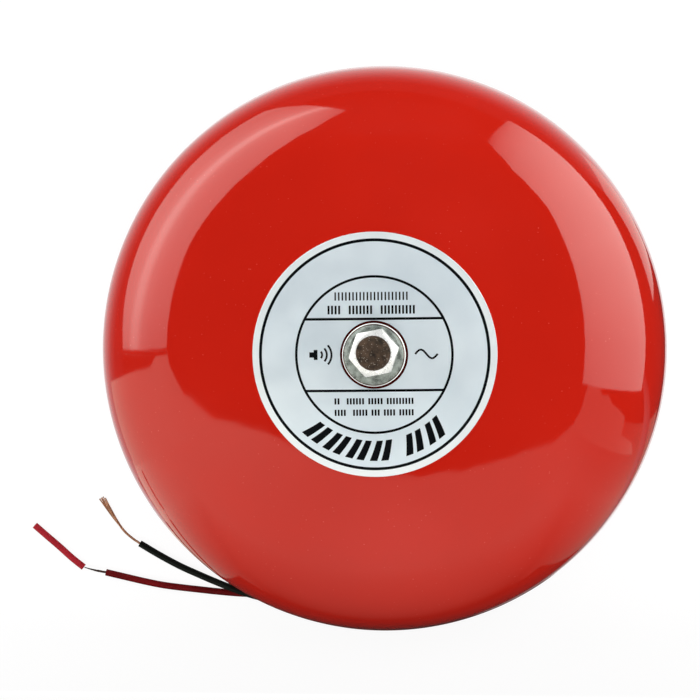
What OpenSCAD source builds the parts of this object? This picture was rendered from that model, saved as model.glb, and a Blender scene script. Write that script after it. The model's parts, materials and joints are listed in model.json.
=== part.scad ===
// Fire alarm bell: a pressed steel gong bolted to a pillar, rung from inside by a solenoid striker.
// It lies on its back: the wall face is z = 0, the gong faces +Z, and the bell's top is +Y. Millimetres.

/* [Gong] */
// Diameter over the gong's rim
gong_d = 200; // [196:1:206]
// Sheet thickness of the gong
gong_wall = 2; // [1.6:0.1:2.4]
// Height of the rim's outer edge above the wall
rim_z = 11; // [9:0.5:13]
// Radius of the shallow crown
crown_r = 290; // [260:5:340]
// Radius of the rounded shoulder
shoulder_r = 42; // [38:1:44]
// Slope of the skirt, from flat
skirt_angle = 82; // [78:1:86]
// Length of the straight skirt at the rim
skirt_l = 6; // [4:1:8]
// Diameter of the gong's bolt hole
gong_hole_d = 11; // [10.5:0.5:12]

/* [Nameplate] */
// Diameter of the round foil plate
plate_d = 83.5; // [70:0.5:100]
// Diameter of the hole in the foil plate
plate_hole_d = 23.2; // [22.4:0.2:30]
// Thickness of the foil plate
plate_t = 0.25; // [0.2:0.05:0.5]

/* [Gong bolt] */
// Diameter of the bolt's shank
bolt_d = 9.9; // [9.8:0.01:9.96]
// Width of the hexagon across its flats
bolt_flats = 15; // [13:0.5:16]
// Diameter of the bolt's flange
bolt_flange_d = 21; // [19:0.5:21.5]
// Height of the bolt's head with its flange
bolt_head_h = 8; // [7:0.5:12]
// Length of the shank below the flange
bolt_l = 30; // [25:1:34]

/* [Wall fixing] */
// Diameter of the mounting plate
base_d = 116; // [116:1:124]
// Thickness of the mounting plate
base_t = 2.5; // [2:0.5:3]
// Thickness of the rubber ring behind the plate
gasket_t = 2; // [1.5:0.5:3]
// Diameter of the circle that the wall holes lie on
wall_pcd = 100; // [98:1:102]
// Diameter of each wall hole
wall_hole_d = 5.5; // [4.5:0.5:6]

/* [Housing] */
// Width of the striker housing
housing_w = 54; // [54:1:56]
// Length of the striker housing
housing_l = 104; // [104:1:108]
// Height of the housing without its lid
housing_h = 30.7; // [30:0.1:32]
// Wall thickness of the housing
housing_wall = 2.2; // [2:0.1:2.4]
// Thickness of the lid
lid_t = 2.6; // [2:0.1:4]
// Diameter of the gong's pillar
post_d = 18; // [16:0.5:18]

/* [Striker] */
// Gap between the hammer and the gong at rest
strike_gap = 1; // [1:0.1:2]
// Radius of the hammer's round nose
nose_r = 5; // [4:0.5:6]
// Radius of the plunger
plunger_r = 4.5; // [4:0.1:4.5]
// Radius of the striker rod
rod_r = 2; // [1.5:0.1:2]
// Turns of the return spring
spring_turns = 7; // [5:1:8]

/* [Leads] */
// Diameter over a lead's insulation
lead_d = 2.4; // [2:0.1:2.4]
// Diameter of a lead's bare copper strands
strand_d = 1.8; // [1.2:0.1:1.9]

/* [Hidden] */
$fn = 96;
slack = 0.3;         // clearance round a fixed part
fit = 0.05;          // clearance of a close fit
eps = 0.01;          // small overlap of two touching shapes

// Gong profile: a skirt, a shoulder arc and a crown arc, each tangent to the next
skirt_out = [sin(skirt_angle), cos(skirt_angle)];
rim = [gong_d / 2, rim_z];
skirt_top = rim + skirt_l * [-cos(skirt_angle), sin(skirt_angle)];
shoulder_c = skirt_top - shoulder_r * skirt_out;
join_angle = asin(shoulder_c.x / (crown_r - shoulder_r));
crown_cz = shoulder_c.y - (crown_r - shoulder_r) * cos(join_angle);
seat_r = plate_hole_d / 2 + 0.4;                 // flat seat under the bolt
seat_angle = asin(seat_r / crown_r);
seat_z = crown_cz + crown_r * cos(seat_angle);

function arc_points(c, r, a0, a1, n) =
    [for (i = [0 : n]) let (a = a0 + (a1 - a0) * i / n) c + r * [sin(a), cos(a)]];
function gong_curve(depth) = concat(
    arc_points([0, crown_cz], crown_r - depth, seat_angle, join_angle, 5),
    arc_points(shoulder_c, shoulder_r - depth, join_angle + 3, skirt_angle, 16),
    [rim - depth * skirt_out]);
function reversed(list) = [for (i = [len(list) - 1 : -1 : 0]) list[i]];

// Stack on the pillar
base_z = gasket_t + base_t;                      // front face of the mounting plate
fibre_t = 1;
post_top = seat_z - gong_wall - fibre_t;
washer_t = 1.2;
washer_d = 21.6;
flange_edge_t = 0.8;
flange_t = 2.4;
dish_r = 25;                                     // radius of the hollow in the bolt's head
dish_depth = 0.6;
plate_rise = 0.03;                               // adhesive under the foil plate
bore_r = 5;                                      // pillar's bore, a running fit on the shank
bore_floor = 24;
tenon_r = 6;                                     // pillar's end, riveted in the mounting plate
gasket_bore_r = 42;

// Housing
floor_z = base_z + housing_wall;                 // inside floor
housing_top = base_z + housing_h;
seal_t = 0.8;
lid_z = housing_top + seal_t;
corner_r = 7;
inner_w = housing_w - 2 * housing_wall;
inner_l = housing_l - 2 * housing_wall;
boss_r = 4;
boss_x = inner_w / 2 - boss_r;
boss_y = inner_l / 2 - boss_r;
post_hole_r = post_d / 2 + slack;
screw_r = 1.5;
screw_head_r = 3;
screw_l = 12;
pan_head_r = 2.8;
pan_head_h = 1.8;
bush_r = 4;
grommet_neck_r = 4.5;
grommet_collar_r = 6;
grommet_lip_r = 5.2;
grommet_lip_t = 1.2;
entry_z = 12;                                    // height of the leads' way out

// Solenoid, along +Y
axis_z = 20;
frame_y0 = 14;
frame_y1 = 46;
sheet_t = 2;
frame_half_w = 12;
frame_top = 31.4;
tube_in_r = plunger_r + 0.08;
tube_out_r = tube_in_r + 0.6;
flange_r = 11;
flange_w = 1.5;
core_r = 7;
coil_r = 10.2;
tape_t = 0.4;
frame_screw_x = 16;
ear_w = 10;
ear_l = 4;                                       // ear's reach past its screw
lug_w = 18;
frame_mid_y = (frame_y0 + frame_y1) / 2;

// Striker: the nose meets the gong's inner shoulder arc
nose_drop = axis_z - shoulder_c.y;
nose_y = shoulder_c.x + sqrt(pow(shoulder_r - gong_wall - nose_r, 2) - pow(nose_drop, 2)) - strike_gap;
hammer_back = 8.4;                               // from the nose's centre to the hammer's back
hammer_y = nose_y - hammer_back;
hammer_body_r = 6.5;
hammer_body_l = 6;
rod_grip = 4;                                    // rod's depth in the hammer
collar_r = 5.5;
collar_l = 3;
collar_y = hammer_y - collar_l;
wall_out_y = housing_l / 2;
bush_flange_t = 2.5;
bush_flange_r = 7;
bush_grip = 1.5;                                 // bush's reach inside the housing wall
wiper_t = 2;
stop_t = 1.6;
spring_y = wall_out_y + bush_flange_t + wiper_t;
spring_r = 4.2;
wire_r = 0.5;
plunger_y0 = 20;
plunger_y1 = 38;

// Leads: the routes that the two leads take from the grommet, by hand
lead_x = 2.2;
lead_y = -56.5;
red_strand_d = 1.4;
black_route = [
    [2.2, -56.5, 12], [2.2, -60, 11.9], [2.1, -64, 10.8], [1.5, -68.5, 8.2], [0.4, -73, 4.9],
    [-1.8, -77.6, 2.4], [-4.8, -82, 1.4], [-8.6, -85.4, 1.3], [-13, -88, 1.3], [-18, -89.8, 1.3],
    [-24.5, -90.9, 1.3], [-31, -91, 1.6], [-37.5, -90.5, 2.8], [-43, -89.6, 3.8], [-47.5, -88.5, 3.9],
    [-52, -87.1, 3.9], [-56.5, -85.5, 3.4], [-61.5, -83.7, 2.2], [-67, -81.5, 1.4], [-73.8, -78.5, 1.3],
    [-81, -74.7, 1.3], [-88.2, -70.5, 1.3]];
red_route = [
    [-2.2, -56.5, 12], [-2.2, -60, 11.8], [-2.6, -64.5, 10.3], [-3.6, -69, 7.4], [-5.4, -73.5, 4.2],
    [-8.2, -77.6, 1.9], [-12, -80.9, 1.3], [-17, -84, 1.3], [-23, -86.3, 1.3], [-30, -87.6, 1.3],
    [-37, -88.2, 1.3], [-44, -88.4, 1.3], [-52, -88.2, 1.3], [-60, -87.6, 1.3], [-67, -86.9, 1.3],
    [-73.7, -86.2, 1.3], [-80, -85.4, 1.3], [-86.3, -84.2, 1.3], [-93, -82.7, 1.3], [-100.5, -81, 1.3]];
black_strand_route = [
    [-88.2, -70.5, 1.3], [-91, -68.6, 1.2], [-94, -66, 1], [-96.6, -62.6, 1], [-99.4, -58.2, 1],
    [-102, -54, 1]];
red_strand_route = [[-100.5, -81, 1.3], [-104.5, -80.3, 1.2], [-108.3, -79.3, 1.2]];
red_stub_route = [
    [-108.6, -79.2, 1.3], [-112.8, -75.9, 1.3], [-117.4, -71.8, 1.3], [-122, -67.9, 1.3],
    [-126.3, -64.2, 1.3]];
coil_wire_route = [
    [6, 19, 32.2], [8, 13, 33.2], [12.5, 6, 33], [13.5, 0, 32], [13, -6, 29], [10.5, -12, 22],
    [7.5, -17, 15], [6.5, -20, 13], [6.5, -23.8, 13]];
inner_lead_route = [
    [2.2, -48.6, 12], [2.8, -46, 12.1], [4.6, -42.5, 12.6], [6.1, -39.5, 13], [6.5, -36.5, 13],
    [6.5, -34.2, 13]];
varistor_leg_route = [[17.5, 0, 15.4], [17.5, 0, 13.6], [15.4, 0, 12], [13, 0, 12]];

// Terminal block
block_w = 26;
block_y0 = -36;
block_y1 = -22;
block_top = 19;
pole_x = 6.5;
pole_y = -29;
pole_z = 13;
clamp_w = 6;
clamp_l = 9;
entry_r = 1.6;
shaft_r = 3;
clamp_head_r = 2.6;
clamp_head_h = 1.6;
leg_pitch = 5;
leg_r = 0.4;
varistor_r = 5;
varistor_t = 3.6;
varistor_place = [15.7, pole_y, 20];
coil_wire_r = 0.6;

function unit(v) = v / norm(v);
function tangent(p, i) = unit(p[min(i + 1, len(p) - 1)] - p[max(i - 1, 0)]);
function radius_at(r, i) = is_list(r) ? r[i] : r;
function ring(p, i, r, sides, ref) =
    let (t = tangent(p, i), side = unit(cross(t, ref)), up = cross(side, t))
    [for (k = [0 : sides - 1]) let (a = 360 * k / sides)
        p[i] + radius_at(r, i) * (cos(a) * side + sin(a) * up)];
function helix(r, y0, y1, turns, steps) =
    [for (i = [0 : turns * steps]) let (a = 360 * i / steps)
        [r * cos(a), y0 + (y1 - y0) * i / (turns * steps), axis_z + r * sin(a)]];
function mirror_x(p) = [for (q = p) [-q.x, q.y, q.z]];

// A closed tube along the points p; ref is a direction that the route never runs along
module tube(p, r, sides = 8, ref = [0, 0, 1]) {
    n = len(p);
    skin = [for (i = [0 : n - 2]) for (k = [0 : sides - 1])
        let (m = (k + 1) % sides, a = i * sides, b = a + sides)
        each [[a + k, a + m, b + m], [a + k, b + m, b + k]]];
    first = [[for (k = [sides - 1 : -1 : 0]) k]];
    last = [[for (k = [0 : sides - 1]) (n - 1) * sides + k]];
    polyhedron([for (i = [0 : n - 1]) each ring(p, i, r, sides, ref)], concat(skin, first, last), convexity = 10);
}

module round_rect(w, l, r) {
    square([w - 2 * r, l], center = true);
    square([w, l - 2 * r], center = true);
    for (x = [-1, 1], y = [-1, 1])
        translate([x * (w / 2 - r), y * (l / 2 - r)])
            circle(r);
}

module disc(r, h, z = 0, hole = 0) {
    translate([0, 0, z])
        difference() {
            cylinder(r = r, h = h);
            if (hole > 0)
                translate([0, 0, -1])
                    cylinder(r = hole, h = h + 2);
        }
}

// A round part along +Y on the striker's axis, from y0 to y1
module along_y(r, y0, y1, hole = 0) {
    translate([0, y0, axis_z])
        rotate([-90, 0, 0])
            disc(r, y1 - y0, 0, hole);
}

module four(x, y) {
    for (i = [-1, 1], j = [-1, 1])
        translate([i * x, j * y, 0])
            children();
}

module on_wall_holes() {
    for (a = [45 : 90 : 315])
        rotate(a)
            translate([wall_pcd / 2, 0, 0])
                children();
}

// A countersunk screw pointing down from z = 0
module countersunk(length) {
    head_h = screw_head_r - screw_r;
    rotate_extrude($fn = 48)
        polygon([[0, 0], [screw_head_r, 0], [screw_r, -head_h], [screw_r, -length], [0, -length]]);
}

module wall_gasket() {
    color("dimgray")
        difference() {
            disc(base_d / 2, gasket_t, 0, gasket_bore_r);
            on_wall_holes()
                translate([0, 0, -1])
                    cylinder(d = wall_hole_d, h = gasket_t + 2);
        }
}

module mounting_plate() {
    color("silver")
        difference() {
            disc(base_d / 2, base_t, gasket_t, tenon_r);
            on_wall_holes()
                translate([0, 0, gasket_t - 1])
                    cylinder(d = wall_hole_d, h = base_t + 2);
            four(boss_x, boss_y)
                translate([0, 0, gasket_t])
                    mirror([0, 0, 1])
                        countersunk(base_t + 1);
            for (x = [-frame_screw_x, frame_screw_x])
                translate([x, frame_mid_y, gasket_t - 1])
                    cylinder(r = screw_r, h = base_t + 2);
        }
}

module gong_post() {
    color("lightgray")
        difference() {
            union() {
                disc(post_d / 2, post_top - base_z, base_z);
                disc(tenon_r, base_t, gasket_t);
            }
            translate([0, 0, bore_floor])
                cylinder(r = bore_r, h = post_top);
        }
}

module post_washer() {
    color("sienna")
        disc(post_d / 2, fibre_t, post_top, gong_hole_d / 2);
}

module housing() {
    color("#1a1a1c")
        difference() {
            union() {
                difference() {
                    translate([0, 0, base_z])
                        linear_extrude(housing_h)
                            round_rect(housing_w, housing_l, corner_r);
                    translate([0, 0, floor_z])
                        linear_extrude(housing_h)
                            round_rect(inner_w, inner_l, corner_r - housing_wall);
                }
                disc(post_hole_r + housing_wall, housing_h, base_z);
                four(boss_x, boss_y)
                    disc(boss_r, housing_h, base_z);
            }
            translate([0, 0, base_z - 1])
                cylinder(r = post_hole_r, h = housing_h + 2);
            four(boss_x, boss_y)
                translate([0, 0, base_z - 1])
                    cylinder(r = screw_r, h = housing_h + 2);
            for (x = [-frame_screw_x, frame_screw_x])
                translate([x, frame_mid_y, base_z - 1])
                    cylinder(r = screw_r, h = housing_wall + 2);
            along_y(bush_r, wall_out_y - housing_wall - 1, wall_out_y + 1);
            translate([0, 0, entry_z - axis_z])
                along_y(grommet_neck_r, -wall_out_y - 1, -wall_out_y + housing_wall + 1);
        }
}

module housing_screws() {
    color("silver")
        four(boss_x, boss_y)
            translate([0, 0, gasket_t])
                mirror([0, 0, 1])
                    countersunk(screw_l);
}

module lid_seal() {
    color("black")
        translate([0, 0, housing_top])
            linear_extrude(seal_t)
                difference() {
                    round_rect(housing_w, housing_l, corner_r);
                    round_rect(inner_w, inner_l - 4 * boss_r, 2);
                    round_rect(inner_w - 4 * boss_r, inner_l, 2);
                    four(boss_x, boss_y)
                        circle(r = screw_r);
                }
}

module housing_lid() {
    color("#222226")
        difference() {
            translate([0, 0, lid_z])
                linear_extrude(lid_t)
                    round_rect(housing_w, housing_l, corner_r);
            translate([0, 0, lid_z - 1])
                cylinder(r = post_hole_r, h = lid_t + 2);
            four(boss_x, boss_y)
                translate([0, 0, lid_z + lid_t])
                    countersunk(lid_t + 1);
        }
}

module lid_screws() {
    color("silver")
        four(boss_x, boss_y)
            translate([0, 0, lid_z + lid_t])
                countersunk(screw_l);
}

// A folded steel yoke round the coil, with two ears for its screws
module coil_frame() {
    color("lightsteelblue")
        difference() {
            union() {
                for (y = [frame_y0, frame_y1 - sheet_t])
                    translate([-frame_half_w, y, floor_z])
                        cube([2 * frame_half_w, sheet_t, frame_top - floor_z]);
                translate([-frame_half_w, frame_y0, floor_z])
                    cube([2 * frame_half_w, frame_y1 - frame_y0, sheet_t]);
                translate([-frame_screw_x - ear_l, frame_mid_y - ear_w / 2, floor_z])
                    cube([2 * (frame_screw_x + ear_l), ear_w, sheet_t]);
            }
            along_y(tube_out_r, frame_y0 - 1, frame_y1 + 1);
            for (x = [-frame_screw_x, frame_screw_x])
                translate([x, frame_mid_y, floor_z - 1])
                    cylinder(r = screw_r, h = sheet_t + 2);
        }
}

module frame_screws() {
    color("silver")
        for (x = [-frame_screw_x, frame_screw_x])
            translate([x, frame_mid_y, 0]) {
                disc(screw_r, floor_z + sheet_t - gasket_t, gasket_t);
                disc(pan_head_r, pan_head_h, floor_z + sheet_t);
            }
}

module coil_bobbin() {
    inner_y0 = frame_y0 + sheet_t;
    inner_y1 = frame_y1 - sheet_t;
    color("ivory") {
        along_y(core_r, inner_y0, inner_y1, tube_out_r);
        along_y(flange_r, inner_y0, inner_y0 + flange_w, core_r - eps);
        along_y(flange_r, inner_y1 - flange_w, inner_y1, core_r - eps);
        translate([-lug_w / 2, inner_y0, axis_z + core_r])
            cube([lug_w, flange_w, frame_top - axis_z - core_r]);
    }
}

module coil_winding() {
    color("chocolate")
        along_y(coil_r, frame_y0 + sheet_t + flange_w, frame_y1 - sheet_t - flange_w, core_r);
}

module coil_tape() {
    color("gold")
        along_y(coil_r + tape_t, frame_y0 + sheet_t + flange_w, frame_y1 - sheet_t - flange_w, coil_r);
}

module guide_tube() {
    color("goldenrod")
        along_y(tube_out_r, frame_y0, frame_y1, tube_in_r);
}

module back_stop() {
    color("black")
        along_y(tube_in_r, frame_y0, frame_y0 + stop_t);
}

module nose_bush() {
    color("ivory") {
        along_y(bush_r, wall_out_y - housing_wall - bush_grip, wall_out_y, rod_r + fit);
        along_y(bush_flange_r, wall_out_y, wall_out_y + bush_flange_t, rod_r + fit);
    }
}

module rod_seal() {
    color("black")
        along_y(collar_r, wall_out_y + bush_flange_t, spring_y, rod_r + slack);
}

module return_spring() {
    color("gainsboro")
        tube(helix(spring_r, spring_y + wire_r, collar_y - wire_r, spring_turns, 12), wire_r, 6, [0, 1, 0]);
}

module terminal_block() {
    color("whitesmoke")
        difference() {
            translate([-block_w / 2, block_y0, floor_z])
                cube([block_w, block_y1 - block_y0, block_top - floor_z]);
            for (x = [-pole_x, pole_x]) {
                translate([x - clamp_w / 2, pole_y - clamp_l / 2, pole_z - clamp_w / 2])
                    cube([clamp_w, clamp_l, clamp_w]);
                translate([x, block_y0 - 1, pole_z])
                    rotate([-90, 0, 0])
                        cylinder(r = entry_r, h = block_y1 - block_y0 + 2);
                translate([x, pole_y, pole_z])
                    cylinder(r = shaft_r, h = block_top);
            }
        }
}

module terminal_clamps() {
    color("gold")
        for (x = [-pole_x, pole_x])
            translate([x, pole_y, pole_z])
                difference() {
                    cube([clamp_w, clamp_l, clamp_w], center = true);
                    rotate([-90, 0, 0])
                        cylinder(r = entry_r, h = clamp_l + 2, center = true);
                    cylinder(r = screw_r, h = clamp_w);
                }
}

module terminal_screws() {
    color("silver")
        for (x = [-pole_x, pole_x])
            translate([x, pole_y, pole_z]) {
                disc(screw_r, clamp_w / 2, 0);
                disc(clamp_head_r, clamp_head_h, clamp_w / 2);
            }
}

module varistor() {
    color("steelblue") {
        translate(varistor_place)
            rotate([0, 90, 0])
                cylinder(r = varistor_r, h = varistor_t);
        for (y = [-leg_pitch / 2, leg_pitch / 2])
            translate([0, pole_y + y, 0])
                tube(varistor_leg_route, leg_r, 8, [0, 1, 0]);
    }
}

module coil_wires() {
    color("crimson") {
        tube(coil_wire_route, coil_wire_r);
        tube(mirror_x(coil_wire_route), coil_wire_r);
    }
}

module inner_leads() {
    color("firebrick") {
        tube(inner_lead_route, lead_d / 2);
        tube(mirror_x(inner_lead_route), lead_d / 2);
    }
}

module cable_grommet() {
    color("black")
        translate([0, 0, entry_z - axis_z])
            difference() {
                union() {
                    along_y(grommet_neck_r, -wall_out_y, -wall_out_y + housing_wall);
                    along_y(grommet_collar_r, lead_y, -wall_out_y);
                    along_y(grommet_lip_r, -wall_out_y + housing_wall, -wall_out_y + housing_wall + grommet_lip_t);
                }
                for (x = [-lead_x, lead_x])
                    translate([x, 0, 0])
                        along_y(lead_d / 2 + fit, -wall_out_y - eps, -wall_out_y + 6);
                for (x = [-lead_x, lead_x])
                    translate([x, 0, 0])
                        along_y(lead_d / 2 - 0.4, lead_y - 1, -wall_out_y);
            }
}

module lead_black() {
    color("#101412")
        tube(black_route, lead_d / 2);
}

module lead_black_strands() {
    color("peru")
        tube(black_strand_route, strand_d / 2);
}

module lead_red() {
    color("darkred")
        tube(red_route, lead_d / 2);
}

module lead_red_strands() {
    color("saddlebrown")
        tube(red_strand_route, red_strand_d / 2);
}

module lead_red_stub() {
    color("firebrick")
        tube(red_stub_route, lead_d / 2);
}

module gong() {
    color("#cb2012")
        rotate_extrude($fn = 180)
            polygon(concat(
                [[gong_hole_d / 2, seat_z]], gong_curve(0),
                reversed(gong_curve(gong_wall)),
                [[seat_r, seat_z - gong_wall], [gong_hole_d / 2, seat_z - gong_wall]]));
}

module nameplate() {
    centre = [0, crown_cz];
    outer_angle = asin(plate_d / 2 / crown_r);
    inner_angle = asin(plate_hole_d / 2 / crown_r) + 0.1;
    color("lightsteelblue")
        rotate_extrude($fn = 180)
            polygon(concat(
                arc_points(centre, crown_r + plate_rise + plate_t, inner_angle, outer_angle, 6),
                arc_points(centre, crown_r + plate_rise, outer_angle, inner_angle, 6)));
}

module gong_bolt() {
    head_z = seat_z + washer_t;
    head_top = head_z + bolt_head_h;
    corner = bolt_flats / sqrt(3);
    color("silver")
        difference() {
            union() {
                disc(bolt_d / 2, bolt_l + washer_t, seat_z - bolt_l);
                translate([0, 0, head_z])
                    rotate_extrude()
                        polygon([[0, 0], [bolt_flange_d / 2, 0], [bolt_flange_d / 2, flange_edge_t],
                                 [corner, flange_t], [0, flange_t]]);
                intersection() {
                    translate([0, 0, head_z])
                        cylinder(r = corner, h = bolt_head_h, $fn = 6);
                    rotate_extrude()
                        polygon([[0, head_z], [corner + 1, head_z], [corner + 1, head_top - 2],
                                 [corner - 2, head_top], [0, head_top]]);
                }
            }
            translate([0, 0, head_top + dish_r - dish_depth])
                sphere(r = dish_r);
        }
}

module plain_washer() {
    color("silver")
        disc(washer_d / 2, washer_t, seat_z, bolt_d / 2);
}

module plunger() {
    color("lightgray")
        along_y(plunger_r, plunger_y0, plunger_y1);
}

module striker_rod() {
    color("silver")
        along_y(rod_r, plunger_y1, hammer_y + rod_grip);
}

module spring_collar() {
    color("goldenrod")
        along_y(collar_r, collar_y, hammer_y, rod_r);
}

module hammer() {
    color("silver")
        difference() {
            union() {
                along_y(hammer_body_r, hammer_y, hammer_y + hammer_body_l);
                along_y(nose_r, hammer_y + hammer_body_l - 1, nose_y);
                translate([0, nose_y, axis_z])
                    sphere(r = nose_r);
            }
            along_y(rod_r, hammer_y - 1, hammer_y + rod_grip);
        }
}

wall_gasket();
mounting_plate();
gong_post();
post_washer();
housing();
housing_screws();
lid_seal();
housing_lid();
lid_screws();
coil_frame();
frame_screws();
coil_bobbin();
coil_winding();
coil_tape();
guide_tube();
back_stop();
nose_bush();
rod_seal();
return_spring();
terminal_block();
terminal_clamps();
terminal_screws();
varistor();
coil_wires();
inner_leads();
cable_grommet();
lead_black();
lead_black_strands();
lead_red();
lead_red_strands();
lead_red_stub();
gong();
nameplate();
gong_bolt();
plain_washer();
plunger();
striker_rod();
spring_collar();
hammer();
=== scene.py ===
"""The looks of the fire alarm bell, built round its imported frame.

Metres. The bell lies on its back: +Z points out of the gong's face, +Y is the top of the bell as hung.
"""
import json
import math
import random

import bpy
from mathutils import Matrix, Vector


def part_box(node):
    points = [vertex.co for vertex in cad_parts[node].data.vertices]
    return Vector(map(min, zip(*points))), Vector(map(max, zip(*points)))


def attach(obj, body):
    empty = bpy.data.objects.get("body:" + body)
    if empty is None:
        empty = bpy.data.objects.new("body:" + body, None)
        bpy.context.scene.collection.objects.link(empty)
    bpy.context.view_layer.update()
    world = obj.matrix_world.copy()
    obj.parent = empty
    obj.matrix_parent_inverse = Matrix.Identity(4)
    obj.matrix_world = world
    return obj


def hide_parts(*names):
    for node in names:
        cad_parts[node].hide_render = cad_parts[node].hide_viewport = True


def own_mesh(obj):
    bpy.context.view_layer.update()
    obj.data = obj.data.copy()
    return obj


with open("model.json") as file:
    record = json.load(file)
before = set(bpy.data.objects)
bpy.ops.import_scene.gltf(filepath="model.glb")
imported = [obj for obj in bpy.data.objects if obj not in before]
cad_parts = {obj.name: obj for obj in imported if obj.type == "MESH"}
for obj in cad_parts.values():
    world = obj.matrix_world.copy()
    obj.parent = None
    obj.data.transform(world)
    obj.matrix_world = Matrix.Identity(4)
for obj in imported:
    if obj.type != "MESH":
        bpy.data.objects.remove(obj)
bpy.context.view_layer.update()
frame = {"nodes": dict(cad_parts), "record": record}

MM = 0.001
ROUND = 2 * math.pi

# The gong's profile: a skirt, a shoulder arc and a crown arc, each tangent to the next
gong_low, gong_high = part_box("gong")
RIM_R = (gong_high.x - gong_low.x) / 2
RIM_Z = 11 * MM
SHEET = 2 * MM
CROWN_R = 290 * MM
SHOULDER_R = 42 * MM
SKIRT_ANGLE = math.radians(82)
SKIRT_L = 6 * MM
HOLE_R = 5.5 * MM
HOLE_BREAK = 0.2 * MM
SEAT_R = 12.0 * MM
# Inside this radius the enamel is painted near black: painted shade in the gap round the washer
SEAT_SHADE_R = 12.1 * MM
RIM_ROUND = 0.5 * MM
GONG_STEPS = 288
SHOULDER_RHO = RIM_R - SKIRT_L * math.cos(SKIRT_ANGLE) - SHOULDER_R * math.sin(SKIRT_ANGLE)
SHOULDER_Z = RIM_Z + SKIRT_L * math.sin(SKIRT_ANGLE) - SHOULDER_R * math.cos(SKIRT_ANGLE)
JOIN_ANGLE = math.asin(SHOULDER_RHO / (CROWN_R - SHOULDER_R))
CROWN_Z = SHOULDER_Z - (CROWN_R - SHOULDER_R) * math.cos(JOIN_ANGLE)

# The foil plate and the print on it
PLATE_R = 41.75 * MM
PLATE_HOLE_R = 11.6 * MM
PLATE_BASE = 0.03 * MM
PLATE_T = 0.25 * MM
PLATE_EDGE = 0.08 * MM
PLATE_FACE_R = 39.5 * MM
PLATE_STEPS = 192
PRINT_T = 0.02 * MM
PRINT_TURN = math.radians(0.7)
PRINT_RINGS = ((39.45 * MM, 1.0 * MM), (27.0 * MM, 0.85 * MM))

# The print inside the rings, in millimetres. A row is its width, height above the middle, tick height,
# places left empty, pitch, and the share of the pitch that is inked
LINE_YS, LINE_REACH_R, LINE_W = (12.2, -12.2), 26.6, 0.85
TICK_ROWS = (
    (26.6, 19.9, 2.8, (), 1.22, 0.42), (31.4, 15.3, 2.9, (4, 5, 13, 14), 1.21, 0.56),
    (27.4, -15.8, 2.1, (2, 3, 10, 16), 1.05, 0.60), (27.4, -19.7, 2.1, (4, 5, 11, 15, 20), 1.05, 0.60))
SIGN_W = 0.68
SOUND_X, SOUND_Y, SOUND_RADII, SOUND_OPEN = -19.4, 0.1, (1.7, 3.3, 4.9), math.radians(42)
WAVE_X, WAVE_Y, WAVE_L, WAVE_H = 14.0, 0.1, 7.6, 1.5
BOLD_INNER, BOLD_OUTER, BOLD_STEPS = 29.4, 36.3, 5
BOLD_PLACES, BOLD_SIDE, BOLD_WIDE, BOLD_LEAN = (-36.5, -23, -9.5, 4, 24, 38), 3.1, 4.1, -4.2

# The bolt. Its head sits a little off the middle of its flange, as forged heads do
BOLT_STEPS = 144
AXIS_R = 0.01 * MM
HALF_FLATS = 7.5 * MM
HEAD_TURN = math.radians(48.5)
HEAD_SKEW = Vector((0.3, 0.85)) * MM
HEXAGON_FOOT = 2.1 * MM
FACE_R = 5.9 * MM
CHAMFER_DROP = 1.9 * MM
CHAMFER_STEPS = 14
SHANK_R = 4.9 * MM
THREAD_PITCH = 1.5 * MM
THREAD_DEPTH = 0.75 * MM
WASHER_HOLE_R = 5.2 * MM
WASHER_BEVEL = 0.3 * MM

# The return spring, its end turns closed up
SPRING_WIRE_R = 0.5 * MM
SPRING_TURNS = 8
CLOSED_TURNS = 0.8
CLOSED_PITCH = 0.06

# How the CAD's own pieces get their softened edges
WELD_GAP = 0.002 * MM
SOFT_EDGE = 0.25 * MM
SOFT_ANGLE = math.radians(50)

# The leads
LEAD_R = 1.2 * MM
STRAND_R = 0.14 * MM
STRAND_TWIST = 1.2
STRAND_PARTS_AT = 0.35
STRAND_SCATTER = 0.12
STUB_SIDES = 20
STUB_BORE = 0.62 * LEAD_R
BLACK_ROUTE = [
    (2.2, -56.5, 12), (2.2, -60, 11.9), (2.1, -64, 10.8), (1.5, -68.5, 8.2), (0.4, -73, 4.9),
    (-1.8, -77.6, 2.4), (-4.8, -82, 1.4), (-8.6, -85.4, 1.3), (-13, -88, 1.3), (-18, -89.8, 1.3),
    (-24.5, -90.9, 1.3), (-31, -91, 1.6), (-37.5, -90.5, 2.8), (-43, -89.6, 3.8), (-47.5, -88.5, 3.9),
    (-52, -87.1, 3.9), (-56.5, -85.5, 3.4), (-61.5, -83.7, 2.2), (-67, -81.5, 1.4), (-73.8, -78.5, 1.3),
    (-81, -74.7, 1.3), (-88.2, -70.5, 1.3)]
RED_ROUTE = [
    (-2.2, -56.5, 12), (-2.2, -60, 11.8), (-2.6, -64.5, 10.3), (-3.6, -69, 7.4), (-5.4, -73.5, 4.2),
    (-8.2, -77.6, 1.9), (-12, -80.9, 1.3), (-17, -84, 1.3), (-23, -86.3, 1.3), (-30, -87.6, 1.3),
    (-37, -88.2, 1.3), (-44, -88.4, 1.3), (-52, -88.2, 1.3), (-60, -87.6, 1.3), (-67, -86.9, 1.3),
    (-73.7, -86.2, 1.3), (-80, -85.4, 1.3), (-86.3, -84.2, 1.3), (-93, -82.7, 1.3), (-100.5, -81, 1.3)]
BLACK_STRAND_ROUTE = [
    (-88.2, -70.5, 1.3), (-91, -68.6, 1.2), (-94, -66, 1), (-96.6, -62.6, 1), (-99.4, -58.2, 1),
    (-102, -54, 1)]
RED_STRAND_ROUTE = [(-100.5, -81, 1.3), (-104.5, -80.3, 1.2), (-108.3, -79.3, 1.2)]
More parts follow.
